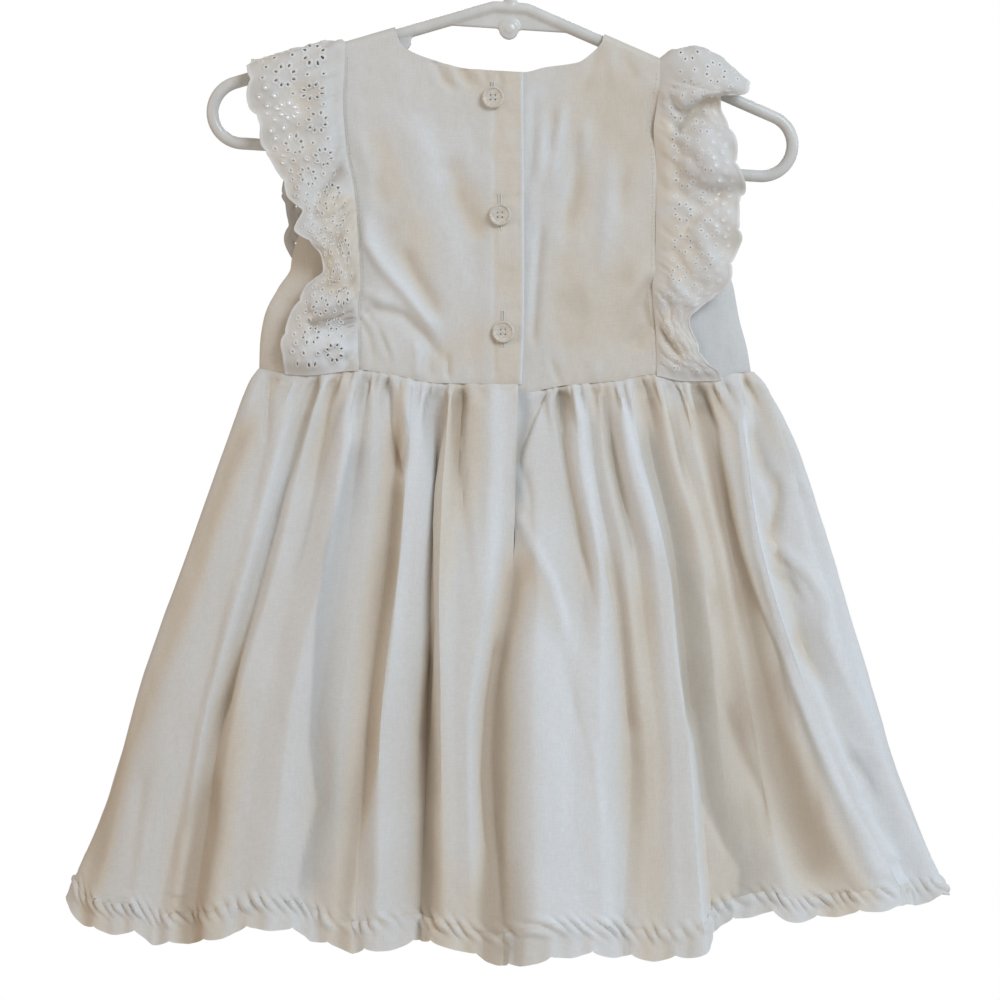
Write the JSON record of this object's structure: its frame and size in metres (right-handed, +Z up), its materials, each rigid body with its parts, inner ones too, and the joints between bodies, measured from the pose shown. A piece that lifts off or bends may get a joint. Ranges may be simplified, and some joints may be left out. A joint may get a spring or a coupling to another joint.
{
  "type": "toddler dress on a clothes hanger",
  "caption": "Sleeveless toddler dress in white cotton with eyelet flutter ruffles, a buttoned back and a gathered skirt with a scalloped hem, hung on a child's tubular hanger",
  "frame": {"origin": "inside top of the hook, where it rests on a rail", "axes": "+Z up; the dress's buttoned back faces -Y; +X to the right as seen from the back"},
  "size_m": [0.4716, 0.1069, 0.5677],
  "materials": {
    "cotton": "plain woven white cotton",
    "eyelet_cotton": "white cotton with stitched eyelets and a scalloped edge",
    "button_plastic": "pearly white",
    "hanger_plastic": "white, smooth"
  },
  "bodies": {
    "root": {"hanger": "hanger_plastic", "bodice_back_left": "cotton", "bodice_back_right": "cotton", "bodice_front": "cotton", "side_back_left": "cotton", "side_back_right": "cotton", "side_front_left": "cotton", "side_front_right": "cotton", "ruffle_left": "eyelet_cotton", "ruffle_right": "eyelet_cotton", "skirt_back": "cotton", "skirt_front": "cotton", "hem_trim_back": "cotton", "hem_trim_front": "cotton", "button_1": "button_plastic", "button_2": "button_plastic", "button_3": "button_plastic"}
  },
  "joints": []
}
